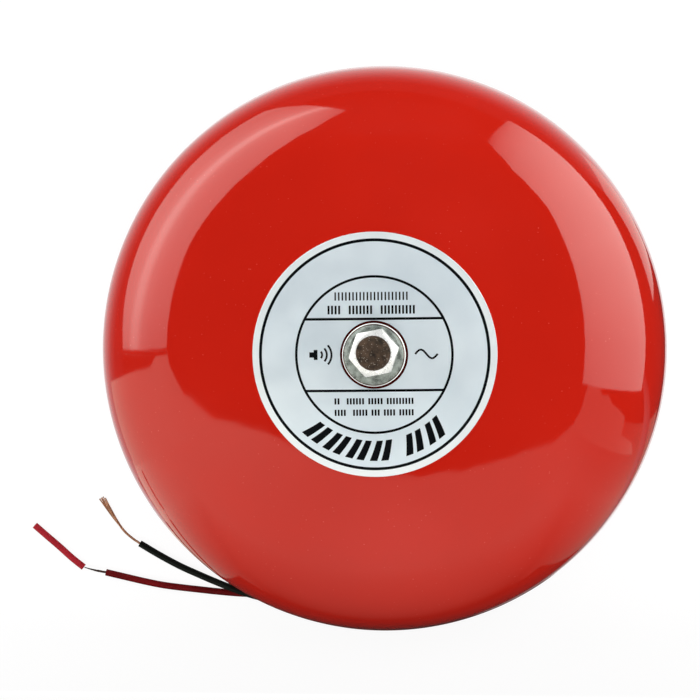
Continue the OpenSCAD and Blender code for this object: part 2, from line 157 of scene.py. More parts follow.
RED_STUB_ROUTE = [
    (-108.6, -79.2, 1.3), (-112.8, -75.9, 1.3), (-117.4, -71.8, 1.3), (-122, -67.9, 1.3),
    (-126.3, -64.2, 1.3)]

# The camera: nearly along the gong's axis, a little to the right of it and above it
VIEW_DISTANCE = 1.2
VIEW_AIM = Vector((-0.01156, -0.00021, 0.014))
VIEW_RIGHT = math.radians(4.204)
VIEW_ABOVE = math.radians(2.249)
LENS = 174.7
SENSOR_WIDTH = 36

# How bright the room is: seen directly, lighting from above and from below, and mirrored in gloss
WORLD_SEEN, WORLD_ABOVE, WORLD_BELOW, WORLD_MIRRORED = 1.0, 0.42, 0.04, 0.035
FLOOR_HALF, FLOOR_DROP, FLOOR_GREY, FLOOR_SEEN = 3.0, 0.5 * MM, 0.12, 0.92
FLAG_HALF, FLAG_Y, FLAG_TOP = 0.25, -0.125, 0.052

# The tall strips on both sides, in (y, z), with (place, strength) stops along an axis
STRIP_TINT = (1.0, 0.99, 0.93)
STRIP_X = 0.6
LEFT_STRIP = [
    (-0.015, -0.09), (-0.016, 0.53), (0.3, 0.50), (0.74, 0.64), (1.7, 0.74), (3.0, 0.54),
    (1.5, -0.28), (1.04, -0.5), (0.52, -0.29), (0.2, -0.19)]
LEFT_STRIP_Y = [(-0.02, 0.62), (0.1, 0.85), (0.3, 1.0), (1.2, 1.05), (3.0, 0.5)]
LEFT_STRIP_Z = [
    (-0.32, 1.5), (-0.10, 2.3), (-0.01, 3.1), (0.05, 4.9), (0.10, 4.9), (0.16, 3.3), (0.26, 2.8), (0.6, 2.5)]
RIGHT_STRIP = [
    (-0.114, -0.15), (-0.128, 0.74), (0.02, 0.71), (0.31, 0.62), (0.52, 0.56), (0.85, 0.64),
    (1.27, 0.52), (1.17, -0.40), (0.76, -0.31), (0.36, -0.25), (0.14, -0.19)]
RIGHT_STRIP_Y = [
    (-0.12, 2.4), (0.0, 2.8), (0.12, 3.5), (0.3, 4.2), (0.55, 4.0), (0.85, 3.2), (1.1, 2.0), (1.3, 0.5)]
RIGHT_STRIP_Z = [(-0.4, 0.85), (0.05, 1.0), (0.2, 1.0), (0.45, 0.9), (0.75, 0.75)]

# The pale table under the bell as hung, in (x, z), and its two far ends, in (y, z)
TABLE_TINT = (1.0, 0.96, 0.82)
TABLE_Y = -0.3
TABLE = [
    (-0.35, -1.9), (-1.9, -1.9), (-1.6, 1.3), (-0.612, 1.186), (-0.433, 1.087), (-0.30, 0.96),
    (0.052, 0.723), (0.174, 0.779), (0.262, 0.834), (0.432, 0.934), (0.569, 0.864), (0.9, 0.75),
    (0.9, -1.9), (0.35, -1.9), (0.2, -0.12), (-0.2, -0.12)]
TABLE_X_RUN = [(-1.3, 1.35), (-0.5, 1.30), (-0.15, 0.94), (0.25, 0.88), (0.9, 0.82)]
TABLE_SLANT = 2.0
TABLE_SLANT_RUN = [(-2.2, 0.35), (-1.6, 0.42), (-1.0, 0.65), (-0.4, 0.95), (0.0, 1.0)]
TABLE_END_X = 0.62
LEFT_TABLE_END = [
    (-0.30, -0.55), (-0.097, -0.498), (-0.081, -0.182), (-0.069, 0.028), (-0.060, 0.275), (-0.034, 0.368),
    (-0.033, 0.564), (-0.070, 0.605), (-0.110, 0.715), (-0.172, 0.923), (-0.235, 1.027), (-0.30, 1.12)]
LEFT_TABLE_END_Z = [(-0.95, 0.9), (-0.2, 1.12), (0.4, 1.45), (1.1, 1.3)]
RIGHT_TABLE_END = [
    (-0.30, 0.80), (-0.262, 0.766), (-0.218, 0.683), (-0.154, 0.651), (-0.115, 0.60), (-0.12, 0.43),
    (-0.145, 0.36), (-0.140, 0.27), (-0.164, 0.208), (-0.175, 0.11), (-0.192, 0.002), (-0.245, -0.022),
    (-0.263, -0.265), (-0.30, -0.40)]
RIGHT_TABLE_END_GLOW = 0.8

# The wall behind the bell, in (x, y), which shows at the very edge of the gong
WALL_Z = -0.6
WALL_RUN = [(0.2, 1.0), (0.3, 0.86), (0.43, 0.76), (0.645, 0.53), (0.874, 0.26), (1.2, 0.10), (2.5, 0.10)]
LOW_WALL_Y = [(-0.32, 0.40), (-0.25, 0.28), (-0.20, 0.14)]
BRIGHT_WALL_GLOW = 1.2
WALL_HIGH = [(-2.5, 0.13), (-2.5, 2.5), (2.5, 2.5), (0.7, 0.5), (0.34, 0.36), (0.28, 0.2), (0.28, 0.13)]
WALL_BRIGHT = [(0.28, 0.105), (0.28, 0.2), (0.34, 0.36), (0.7, 0.5), (0.7, 0.105)]
WALL_NEAR = [(0.08, -0.20), (0.20, -0.20), (0.25, -0.05), (0.25, 0.13), (0.08, 0.13)]
WALL_LEFT = [(-0.12, 0.13), (-0.12, -0.05), (-0.35, -0.3), (-2.5, -0.3), (-2.5, 0.13)]
WALL_RIGHT = [(0.05, -0.20), (2.5, -0.20), (2.5, -0.3), (0.05, -0.3)]

# The soft lamps: name, place, width and power
LAMPS = (
    ("key", (0.30, 0.65, 1.2), 0.9, 2.4),
    ("low_fill", (0.0, -0.72, 0.80), 0.6, 4.4),
    ("right_low", (0.60, -0.55, 0.40), 0.6, 1.9),
    ("left_side", (-0.78, 0.02, 0.18), 0.7, 4.2),
    ("right_side", (0.76, 0.26, 0.16), 0.7, 3.2),
    ("top_side", (0.0, 0.8, 0.25), 0.7, 3.2))


# ---------------------------------------------------------------- shader nodes

def put(tree, kind, inputs=None, **settings):
    """A node with its inputs set to values, or linked where the value is a socket."""
    made = tree.nodes.new("ShaderNode" + kind)
    for name, value in settings.items():
        setattr(made, name, value)
    for name, value in (inputs or {}).items():
        if isinstance(value, bpy.types.NodeSocket):
            tree.links.new(value, made.inputs[name])
        else:
            made.inputs[name].default_value = value
    return made


def work_out(tree, operation, first, second=0.0, clamp=False):
    """The result of a sum on two values."""
    return put(tree, "Math", {0: first, 1: second}, operation=operation, use_clamp=clamp).outputs[0]


def position(tree):
    """The X, Y and Z of the point that is shaded."""
    place = put(tree, "NewGeometry")
    return put(tree, "SeparateXYZ", {0: place.outputs["Position"]}).outputs


def distance_from_axis(tree, place):
    """How far a place is from the Z axis."""
    flat = put(tree, "VectorMath", {0: place, 1: (1, 1, 0)}, operation="MULTIPLY")
    return put(tree, "VectorMath", {0: flat.outputs[0]}, operation="LENGTH").outputs["Value"]


def empty_material(name):
    """A material with no nodes but its output."""
    material = bpy.data.materials.new(name)
    material.use_nodes = True
    tree = material.node_tree
    tree.nodes.clear()
    return material, tree, tree.nodes.new("ShaderNodeOutputMaterial").inputs["Surface"]


def bare_material(name, metallic=0.0, coat=0.0, specular=0.5):
    """A material with its one Principled shader, ready for its colour and roughness."""
    material = bpy.data.materials.new(name)
    material.use_nodes = True
    tree = material.node_tree
    shader = next(n for n in tree.nodes if n.type == "BSDF_PRINCIPLED")
    shader.inputs["Metallic"].default_value = metallic
    shader.inputs["Coat Weight"].default_value = coat
    shader.inputs["Specular IOR Level"].default_value = specular
    return material, tree, shader.inputs


# ---------------------------------------------------------------- camera and studio

def new_object(name, data):
    """An object that holds the data, in the scene."""
    made = bpy.data.objects.new(name, data)
    bpy.context.scene.collection.objects.link(made)
    return made


def aim_matrix(place, target, up):
    """A matrix at place whose -Z looks at target, with up upwards."""
    back = (place - target).normalized()
    side = up.cross(back).normalized()
    turn = Matrix((side, back.cross(side), back)).transposed().to_4x4()
    return Matrix.Translation(place) @ turn


def make_camera():
    slant = Vector((math.tan(VIEW_RIGHT), math.tan(VIEW_ABOVE), 1)).normalized()
    data = bpy.data.cameras.new("camera")
    data.lens = LENS
    data.sensor_width = SENSOR_WIDTH
    camera = new_object("camera", data)
    camera.matrix_world = aim_matrix(VIEW_AIM + slant * VIEW_DISTANCE, VIEW_AIM, Vector((0, 1, 0)))
    bpy.context.scene.camera = camera


def glow_material(name, tint=(1, 1, 1), strength=1.0):
    """A material that only glows."""
    material, tree, surface = empty_material(name)
    glow = put(tree, "Emission", {"Color": (*tint, 1), "Strength": strength})
    tree.links.new(glow.outputs[0], surface)
    return material


def set_glow(material, strength):
    """Feeds the strength of a material's glow from a socket."""
    glow = next(n for n in material.node_tree.nodes if n.type == "EMISSION")
    material.node_tree.links.new(strength, glow.inputs["Strength"])


def along(tree, value, stops):
    """A strength that runs through (place, strength) stops."""
    low, high = stops[0][0], stops[-1][0]
    peak = max(strength for place, strength in stops)
    share = put(tree, "MapRange", {"Value": value, "From Min": low, "From Max": high})
    ramp = put(tree, "ValToRGB", {"Fac": share.outputs[0]})
    elements = ramp.color_ramp.elements
    for number, (place, strength) in enumerate(stops):
        if number in (0, len(stops) - 1):
            element = elements[-1 if number else 0]
        else:
            element = elements.new((place - low) / (high - low))
        element.color = (*[strength / peak] * 3, 1)
    return work_out(tree, "MULTIPLY", ramp.outputs[0], peak)


def shade_card(material, **runs):
    """Makes a card's strength the product of its runs along the axes."""
    tree = material.node_tree
    place = position(tree)
    total = 1.0
    for axis, stops in runs.items():
        total = work_out(tree, "MULTIPLY", along(tree, place[axis], stops), total)
    set_glow(material, total)


def table_glow():
    """The glow of the table, shaded under the bell and fading slantwise to the far right."""
    material = glow_material("low_card", TABLE_TINT)
    tree = material.node_tree
    place = position(tree)
    sideways = work_out(tree, "ABSOLUTE", place["X"])
    clear = put(tree, "MapRange", {"Value": sideways, "From Min": 0.12, "From Max": 0.40})
    front = put(tree, "MapRange", {"Value": place["Z"], "From Min": -0.13, "From Max": 0.20})
    unshaded = work_out(tree, "MAXIMUM", clear.outputs[0], front.outputs[0])
    slant = work_out(tree, "SUBTRACT", place["Z"], work_out(tree, "MULTIPLY", place["X"], TABLE_SLANT))
    level = work_out(tree, "MULTIPLY", along(tree, place["X"], TABLE_X_RUN),
                     along(tree, slant, TABLE_SLANT_RUN))
    set_glow(material, work_out(tree, "MULTIPLY", unshaded, level))
    return material


def wall_glow():
    """The glow of the wall behind, bright just round the bell and fading outwards."""
    material = glow_material("wall")
    tree = material.node_tree
    place = put(tree, "NewGeometry")
    set_glow(material, along(tree, distance_from_axis(tree, place.outputs["Position"]), WALL_RUN))
    return material


def stage_face(name, corners, material, unseen_by):
    """A flat face of the studio that some kinds of ray pass by."""
    mesh = bpy.data.meshes.new(name)
    mesh.from_pydata(corners, [], [tuple(range(len(corners)))])
    mesh.materials.append(material)
    face = new_object(name, mesh)
    for ray in unseen_by:
        setattr(face, "visible_" + ray, False)


def studio_card(name, corners, material):
    """A glowing card that only shows as a reflection."""
    stage_face(name, corners, material, ("camera", "diffuse", "shadow"))


def make_cards():
    """The cards that give the gloss its broad shapes."""
    left_strip = glow_material("left_softbox", STRIP_TINT)
    shade_card(left_strip, Y=LEFT_STRIP_Y, Z=LEFT_STRIP_Z)
    studio_card("left_card", [(-STRIP_X, y, z) for y, z in LEFT_STRIP], left_strip)
    right_strip = glow_material("right_softbox", STRIP_TINT)
    shade_card(right_strip, Y=RIGHT_STRIP_Y, Z=RIGHT_STRIP_Z)
    studio_card("right_card", [(STRIP_X, y, z) for y, z in RIGHT_STRIP], right_strip)
    studio_card("table_card", [(x, TABLE_Y, z) for x, z in TABLE], table_glow())
    left_end = glow_material("side_table", TABLE_TINT)
    shade_card(left_end, Z=LEFT_TABLE_END_Z)
    studio_card("left_table_card", [(-TABLE_END_X, y, z) for y, z in LEFT_TABLE_END], left_end)
    right_end = glow_material("far_table", TABLE_TINT, RIGHT_TABLE_END_GLOW)
    studio_card("right_table_card", [(TABLE_END_X, y, z) for y, z in RIGHT_TABLE_END], right_end)
    wall = wall_glow()
    bright_wall = glow_material("bright_wall", STRIP_TINT, BRIGHT_WALL_GLOW)
    low_wall = glow_material("low_wall")
    shade_card(low_wall, Y=LOW_WALL_Y)
    for name, glow, corners in (("wall_high", wall, WALL_HIGH), ("wall_bright", bright_wall, WALL_BRIGHT),
                                ("wall_near", wall, WALL_NEAR), ("wall_left", wall, WALL_LEFT),
                                ("wall_right", low_wall, WALL_RIGHT)):
        studio_card(name, [(x, y, WALL_Z) for x, y in corners], glow)


def soft_lamp(name, place, width, power):
    """A wide lamp that lights colour and leaves no reflection."""
    data = bpy.data.lights.new(name, "AREA")
    data.shape = "DISK"
    data.size = width
    data.energy = power
    lamp = new_object(name, data)
    lamp.matrix_world = aim_matrix(Vector(place), Vector((0, 0, 0.03)), Vector((0, 1, 0)))
    lamp.visible_camera = False
    lamp.visible_glossy = False


def make_flag():
    """A black card that keeps the low fill off the lowest edge of the gong."""
    material, tree, shader = bare_material("flag_black", specular=0.0)
    shader["Base Color"].default_value = (0, 0, 0, 1)
    corners = [(x, FLAG_Y, z) for x, z in ((-FLAG_HALF, 0), (FLAG_HALF, 0), (FLAG_HALF, FLAG_TOP),
                                           (-FLAG_HALF, FLAG_TOP))]
    stage_face("flag", corners, material, ("camera", "glossy"))


def make_floor():
    """A pale floor that takes soft shadows. Gloss doesn't see it, and from below it is clear."""
    material, tree, surface = empty_material("pale_floor")
    matt = put(tree, "BsdfDiffuse", {"Color": (FLOOR_GREY, FLOOR_GREY, FLOOR_GREY, 1)})
    ray = put(tree, "LightPath")
    bounce = put(tree, "MapRange", {"Value": position(tree)["Y"], "From Min": -0.13, "From Max": -0.02,
                                    "To Min": 0.06, "To Max": 0.62})
    strength = put(tree, "Mix", {"Factor": ray.outputs["Is Camera Ray"], "A": bounce.outputs[0],
                                 "B": FLOOR_SEEN})
    glow = put(tree, "Emission", {"Strength": strength.outputs["Result"]})
    both = put(tree, "AddShader", {0: matt.outputs[0], 1: glow.outputs[0]})
    side = put(tree, "NewGeometry")
    shown = put(tree, "MixShader", {0: side.outputs["Backfacing"], 1: both.outputs[0],
                                    2: put(tree, "BsdfTransparent").outputs[0]})
    tree.links.new(shown.outputs[0], surface)
    corners = [(x * FLOOR_HALF, y * FLOOR_HALF, -FLOOR_DROP) for x, y in ((-1, -1), (1, -1), (1, 1), (-1, 1))]
    stage_face("floor", corners, material, ("glossy",))


def make_world():
    """White behind everything, dim as ambient light and dark in reflections."""
    world = bpy.data.worlds.new("studio")
    world.use_nodes = True
    bpy.context.scene.world = world
    tree = world.node_tree
    background = next(n for n in tree.nodes if n.type == "BACKGROUND")
    ray = put(tree, "LightPath")
    sky = put(tree, "TexCoord")
    toward = put(tree, "SeparateXYZ", {0: sky.outputs["Generated"]})
    lit = put(tree, "MapRange", {"Value": toward.outputs["Y"], "From Min": -0.8, "From Max": -0.1,
                                 "To Min": WORLD_BELOW, "To Max": WORLD_ABOVE})
    level = put(tree, "Mix", {"Factor": ray.outputs["Is Glossy Ray"], "A": lit.outputs[0],
                              "B": WORLD_MIRRORED})
    shown = put(tree, "Mix", {"Factor": ray.outputs["Is Camera Ray"], "A": level.outputs["Result"],
                              "B": WORLD_SEEN})
    background.inputs["Color"].default_value = (1, 1, 1, 1)
    tree.links.new(shown.outputs["Result"], background.inputs["Strength"])


def make_studio():
    make_world()
    make_floor()
    make_cards()
    for name, place, width, power in LAMPS:
        soft_lamp(name, place, width, power)
    make_flag()
    bpy.context.scene.view_settings.view_transform = "Standard"


# ---------------------------------------------------------------- shader groups

def shader_group(name, inputs, outputs):
    """An empty node group with float inputs, and outputs of the given kinds."""
    group = bpy.data.node_groups.new(name, "ShaderNodeTree")
    for label, value in inputs.items():
        socket = group.interface.new_socket(label, in_out="INPUT", socket_type="NodeSocketFloat")
        socket.default_value = value
    for label, kind in outputs.items():
        group.interface.new_socket(label, in_out="OUTPUT", socket_type="NodeSocket" + kind)
    return group, group.nodes.new("NodeGroupInput").outputs, group.nodes.new("NodeGroupOutput").inputs


def mottle_group():
    """Broad uneven patches between a low and a high value."""
    group, given, result = shader_group(
        "mottle", {"Scale": 40, "Detail": 3, "Low": 0, "High": 1}, {"Value": "Float"})
    place = put(group, "TexCoord")
    noise = put(group, "TexNoise", {"Vector": place.outputs["Object"], "Scale": given["Scale"],
                                    "Detail": given["Detail"], "Roughness": 0.55})
    spread = put(group, "MapRange", {"Value": noise.outputs[0], "From Min": 0.32, "From Max": 0.68,
                                     "To Min": given["Low"], "To Max": given["High"]})
    group.links.new(spread.outputs[0], result["Value"])
    return group


def specks_group():
    """Small separate spots, such as dust or pits."""
    group, given, result = shader_group(
        "specks", {"Scale": 900, "Cover": 0.2}, {"Mask": "Float"})
    place = put(group, "TexCoord")
    cells = put(group, "TexVoronoi", {"Vector": place.outputs["Object"], "Scale": given["Scale"]})
    thin = put(group, "TexNoise", {"Vector": place.outputs["Object"], "Scale": 60, "Detail": 2})
    reach = work_out(group, "MULTIPLY", thin.outputs[0], given["Cover"])
    spot = work_out(group, "SUBTRACT", reach, cells.outputs["Distance"])
    group.links.new(work_out(group, "MULTIPLY", spot, 12, clamp=True), result["Mask"])
    return group


def scratches_group():
    """Fine straight marks in two directions."""
    group, given, result = shader_group(
        "scratches", {"Scale": 60, "Amount": 0.5}, {"Mask": "Float"})
    place = put(group, "TexCoord")
    masks = []
    for turn, stretch in ((0.5, (1, 40, 1)), (-0.9, (1, 55, 1))):
        lay = put(group, "Mapping", {"Vector": place.outputs["Object"], "Rotation": (0, 0, turn),
                                     "Scale": stretch})
        noise = put(group, "TexNoise", {"Vector": lay.outputs[0], "Scale": given["Scale"], "Detail": 2})
        mask = put(group, "MapRange", {"Value": noise.outputs[0], "From Min": 0.64, "From Max": 0.72})
        masks.append(mask.outputs[0])
    both = work_out(group, "MAXIMUM", *masks)
    group.links.new(work_out(group, "MULTIPLY", both, given["Amount"]), result["Mask"])
    return group


def relief_group():
    """A fine bumpy surface, as a normal."""
    group, given, result = shader_group(
        "relief", {"Scale": 400, "Detail": 3, "Strength": 0.3, "Depth": 0.00005}, {"Normal": "Vector"})
    place = put(group, "TexCoord")
    noise = put(group, "TexNoise", {"Vector": place.outputs["Object"], "Scale": given["Scale"],
                                    "Detail": given["Detail"]})
    bump = put(group, "Bump", {"Height": noise.outputs[0], "Strength": given["Strength"],
                               "Distance": given["Depth"]})
    group.links.new(bump.outputs[0], result["Normal"])
    return group


def inside_radius_group():
    """1 inside a radius round the Z axis and 0 outside it."""
    group, given, result = shader_group(
        "inside_radius", {"Radius": 0.01, "Softness": 0.001}, {"Mask": "Float"})
    place = put(group, "TexCoord")
    radius = distance_from_axis(group, place.outputs["Object"])
    inwards = work_out(group, "SUBTRACT", given["Radius"], radius)
    group.links.new(work_out(group, "DIVIDE", inwards, given["Softness"], clamp=True), result["Mask"])
    return group


GROUPS = {"inside_radius": inside_radius_group(), "mottle": mottle_group(), "specks": specks_group(),
          "scratches": scratches_group(), "relief": relief_group()}


def use(tree, name, **inputs):
    """One of the shared groups, placed in a material with its own values."""
    made = tree.nodes.new("ShaderNodeGroup")
    made.node_tree = GROUPS[name]
    for label, value in inputs.items():
        made.inputs[label].default_value = value
    return made.outputs[0]


def blend_colours(tree, share, first, second):
    """The first colour where share is 0 and the second where it is 1."""
    mix = put(tree, "Mix", data_type="RGBA")
    for label, value in (("A", first), ("B", second)):
        socket = next(s for s in mix.inputs if s.name == label and s.type == "RGBA")
        if isinstance(value, bpy.types.NodeSocket):
            tree.links.new(value, socket)
        else:
            socket.default_value = (*value, 1)
    tree.links.new(share, mix.inputs["Factor"])
    return next(s for s in mix.outputs if s.type == "RGBA")


# ---------------------------------------------------------------- finishes

def red_enamel():
    """Glossy fire-red stoving enamel: orange peel, dust specks, hairline marks, and painted shade darkening
    the bolt seat.
    """
    material, tree, shader = bare_material("red_enamel")
    body = blend_colours(tree, use(tree, "mottle", Scale=14, Low=0.0, High=1.0),
                         (0.500, 0.0112, 0.0042), (0.548, 0.0130, 0.0048))
    dusted = blend_colours(tree, use(tree, "specks", Scale=420, Cover=0.16), body, (0.68, 0.10, 0.08))
    # Painted shade: the enamel turns near black round the bolt seat, where the washer shades the gap
    seat = blend_colours(tree, use(tree, "inside_radius", Radius=SEAT_SHADE_R, Softness=0.0005), dusted,
                         (0.050, 0.0020, 0.0016))
    tree.links.new(seat, shader["Base Color"])
    gloss = use(tree, "mottle", Scale=30, Low=0.045, High=0.075)
    marks = use(tree, "scratches", Scale=22, Amount=0.04)
    tree.links.new(work_out(tree, "ADD", gloss, marks), shader["Roughness"])
    tree.links.new(use(tree, "relief", Scale=130, Detail=1, Strength=0.35, Depth=0.00007), shader["Normal"])
    return material


def printed_foil():
    """Lacquered silver-blue foil, slightly uneven where it is stuck down and paler at its cut edge."""
    material, tree, shader = bare_material("printed_foil", metallic=0.42)
    body = blend_colours(tree, use(tree, "mottle", Scale=45, Detail=4, Low=0, High=1),
                         (0.745, 0.845, 0.91), (0.795, 0.885, 0.94))
    pale = blend_colours(tree, use(tree, "inside_radius", Radius=PLATE_FACE_R, Softness=0.0003),
                         (0.90, 0.96, 0.98), body)
    tree.links.new(pale, shader["Base Color"])
    tree.links.new(use(tree, "mottle", Scale=90, Low=0.36, High=0.46), shader["Roughness"])
    tree.links.new(use(tree, "relief", Scale=60, Detail=2, Strength=0.10, Depth=0.00006), shader["Normal"])
    return material


def zinc_finish(name, dark, light, rough, metallic, crystal=3500, bright=None):
    """Zinc plate with patches and fine crystals. bright makes the specks fewer and of that colour, which
    paints highlight glints onto the crystal pattern.
    """
    material, tree, shader = bare_material(name, metallic)
    patch = blend_colours(tree, use(tree, "mottle", Scale=420, Detail=5, Low=0, High=1), dark, light)
    # The specks carry a crystal pattern; with bright they are pale painted highlight glints
    crystals_and_glints = blend_colours(tree, use(tree, "specks", Scale=crystal, Cover=0.45 if bright else 0.7), patch,
                             bright or light)
    tree.links.new(crystals_and_glints, shader["Base Color"])
    tree.links.new(use(tree, "mottle", Scale=700, Low=rough[0], High=rough[1]), shader["Roughness"])
    tree.links.new(use(tree, "relief", Scale=1400, Strength=0.15, Depth=0.00004), shader["Normal"])
    return material


def plain_finish(name, dark, light, rough, metallic=0.0, coat=0.0, specular=0.5, patch=60,
                 grain=(600, 0.2, 0.00004), dust=None, marks=0.0):
    """A finish whose colour and roughness drift, with a fine relief, and dust or marks if given."""
    material, tree, shader = bare_material(name, metallic, coat, specular)
    colour = blend_colours(tree, use(tree, "mottle", Scale=patch, Low=0, High=1), dark, light)
    if dust:
        colour = blend_colours(tree, use(tree, "specks", Scale=1100, Cover=0.35), colour, dust)
    tree.links.new(colour, shader["Base Color"])
    level = use(tree, "mottle", Scale=patch * 1.7, Low=rough[0], High=rough[1])
    if marks:
        level = work_out(tree, "ADD", level, use(tree, "scratches", Scale=90, Amount=marks))
    tree.links.new(level, shader["Roughness"])
    scale, strength, depth = grain
    tree.links.new(use(tree, "relief", Scale=scale, Strength=strength, Depth=depth), shader["Normal"])
    return material


LEAD_GRAIN = (500, 0.15, 0.00003)

# Zinc finishes: name, dark and light colour, roughness range, metallic, and what else differs
ZINC_FINISHES = (
    ("bright_zinc", (0.86, 0.88, 0.86), (0.97, 0.97, 0.96), (0.22, 0.34), 0.35, {}),
    ("bolt_flange", (0.05, 0.06, 0.053), (0.33, 0.37, 0.34), (0.35, 0.55), 0.3, {}),
    # The bolt face's pale specks are painted highlights: glints painted into the colour over the crystal
    # pattern
    ("bolt_face", (0.006, 0.004, 0.002), (0.095, 0.056, 0.034), (0.40, 0.6), 0.2,
     {"crystal": 1500, "bright": (0.42, 0.36, 0.30)}))

# Plain finishes: name, dark and light colour, roughness range, and what else differs
PLAIN_FINISHES = (
    ("print_ink", (0.002, 0.003, 0.004), (0.004, 0.005, 0.006), (0.3, 0.4), {"specular": 0.05}),
    ("washer_zinc", (0.92, 0.92, 0.91), (0.98, 0.98, 0.97), (0.3, 0.4), {"metallic": 0.1, "patch": 400}),
    ("plated_steel", (0.42, 0.43, 0.42), (0.60, 0.60, 0.56), (0.25, 0.42), {"metallic": 1.0, "marks": 0.15}),
    ("black_moulding", (0.016, 0.016, 0.018), (0.026, 0.026, 0.029), (0.42, 0.55),
     {"grain": (1500, 0.5, 0.00008), "dust": (0.07, 0.07, 0.07)}),
    ("black_rubber", (0.012, 0.012, 0.012), (0.028, 0.027, 0.026), (0.6, 0.8),
     {"grain": (900, 0.4, 0.00008), "dust": (0.10, 0.10, 0.095)}),
    ("white_nylon", (0.66, 0.63, 0.53), (0.76, 0.74, 0.65), (0.35, 0.5), {}),
    ("copper", (0.30, 0.13, 0.065), (0.52, 0.27, 0.16), (0.28, 0.42), {"metallic": 0.4, "patch": 350}),
    ("dull_copper", (0.020, 0.010, 0.008), (0.10, 0.04, 0.022), (0.35, 0.5), {"metallic": 0.6, "patch": 350}),
    ("brass", (0.58, 0.40, 0.16), (0.74, 0.54, 0.25), (0.2, 0.35), {"metallic": 1.0, "marks": 0.1}),
    ("coil_tape", (0.55, 0.40, 0.04), (0.66, 0.50, 0.08), (0.2, 0.35), {}),
    ("fibre", (0.26, 0.07, 0.035), (0.36, 0.11, 0.06), (0.6, 0.75), {}),
    ("spring_steel", (0.36, 0.36, 0.36), (0.52, 0.52, 0.53), (0.18, 0.3), {"metallic": 1.0, "patch": 300}),
    ("blue_epoxy", (0.02, 0.09, 0.32), (0.035, 0.13, 0.42), (0.2, 0.35), {"coat": 0.4}),
    ("black_lead", (0.002, 0.004, 0.003), (0.005, 0.008, 0.006), (0.40, 0.52),
     {"patch": 120, "grain": LEAD_GRAIN, "specular": 0.12}),
    ("red_lead", (0.120, 0.001, 0.002), (0.185, 0.002, 0.004), (0.40, 0.52),
     {"patch": 120, "grain": LEAD_GRAIN, "specular": 0.12}),
    ("red_stub", (0.32, 0.006, 0.015), (0.40, 0.012, 0.024), (0.36, 0.5),
     {"patch": 150, "grain": LEAD_GRAIN, "specular": 0.2}))


def make_finishes():
    """Every finish by name. Those that a CAD node wears have the name of its material slot."""
    finishes = {"red_enamel": red_enamel(), "printed_foil": printed_foil()}
    for make, rows in ((zinc_finish, ZINC_FINISHES), (plain_finish, PLAIN_FINISHES)):
        for name, *values, extra in rows:
            finishes[name] = make(name, *values, **extra)
    return finishes


# ---------------------------------------------------------------- mesh helpers

def add_mesh(name, points, faces, finish, sharp=32):
    """A smooth-shaded object whose edges sharper than an angle stay crisp."""
    mesh = bpy.data.meshes.new(name)
    mesh.from_pydata(points, [], faces)
    mesh.validate()
    mesh.materials.append(FINISHES[finish])
    mesh.shade_smooth()
    mesh.set_sharp_from_angle(angle=math.radians(sharp))
    return new_object(name, mesh)


def lathe(profile, steps, reach=None):
    """A closed loop of (radius, z) turned round the Z axis. reach(angle, radius, z) may pull a radius in."""
    count = len(profile)
    points = []
    for i in range(steps):
        angle = ROUND * i / steps
        for radius, z in profile:
            rho = reach(angle, radius, z) if reach else radius
            points.append((rho * math.cos(angle), rho * math.sin(angle), z))
    faces = [(i * count + k, (i + 1) % steps * count + k, (i + 1) % steps * count + (k + 1) % count,
              i * count + (k + 1) % count) for i in range(steps) for k in range(count)]
    return points, faces


def smooth_route(route, steps=6):
    """A smooth curve through the points of a route given in millimetres."""
    points = [Vector(p) * MM for p in route]
    ends = [2 * points[0] - points[1], *points, 2 * points[-1] - points[-2]]
    curve = []
    for a, b, c, d in zip(ends, ends[1:], ends[2:], ends[3:]):
        for i in range(steps):
            t = i / steps
            curve.append(0.5 * (2 * b + (c - a) * t + (2 * a - 5 * b + 4 * c - d) * t * t
                                + (3 * b - a - 3 * c + d) * t ** 3))
    return [*curve, points[-1]]


def sweep(line, radius, sides=8, first_side=Vector((0, 0, 1))):
    """A capped tube along a line; radius is a number or a function of the share along the line."""
    points, faces = [], []
    side = first_side
    for i, centre in enumerate(line):
        ahead = (line[min(i + 1, len(line) - 1)] - line[max(i - 1, 0)]).normalized()
        side = (side - ahead * side.dot(ahead)).normalized()
        other = ahead.cross(side)
        r = radius(i / (len(line) - 1)) if callable(radius) else radius
        for k in range(sides):
            angle = ROUND * k / sides
            points.append(centre + r * (math.cos(angle) * side + math.sin(angle) * other))
    for i in range(len(line) - 1):
        for k in range(sides):
            m = (k + 1) % sides
            faces.append((i * sides + k, i * sides + m, (i + 1) * sides + m, (i + 1) * sides + k))
    faces.append(tuple(reversed(range(sides))))
    faces.append(tuple((len(line) - 1) * sides + k for k in range(sides)))
    return points, faces


def merge(parts):
    """Several (points, faces) as one."""
    points, faces = [], []
    for some_points, some_faces in parts:
        start = len(points)
        points += some_points
        faces += [tuple(start + k for k in face) for face in some_faces]
    return points, faces


def arc(centre, radius, first, last, steps):
    """Points of an arc in the (radius, z) plane; angles are from the Z axis."""
    return [(centre[0] + radius * math.sin(first + (last - first) * i / steps),
             centre[1] + radius * math.cos(first + (last - first) * i / steps)) for i in range(steps + 1)]


def crown_z(radius, lift=0.0):
    """The height of the gong's crown at a radius, or of a skin lifted off it."""
    return CROWN_Z + math.sqrt((CROWN_R + lift) ** 2 - radius ** 2)


# ---------------------------------------------------------------- the leads

def lead_curve(name, route, finish):
    """A free lead as a round curve, and its length."""
    line = smooth_route(route)
    data = bpy.data.curves.new(name, "CURVE")
    data.dimensions = "3D"
    data.bevel_depth = LEAD_R
    data.bevel_resolution = 6
    data.use_fill_caps = True
    spline = data.splines.new("POLY")
    spline.points.add(len(line) - 1)
    for point, place in zip(spline.points, line):
        point.co = (*place, 1)
    spline.use_smooth = True
    data.materials.append(FINISHES[finish])
    return new_object(name, data), sum((b - a).length for a, b in zip(line, line[1:]))


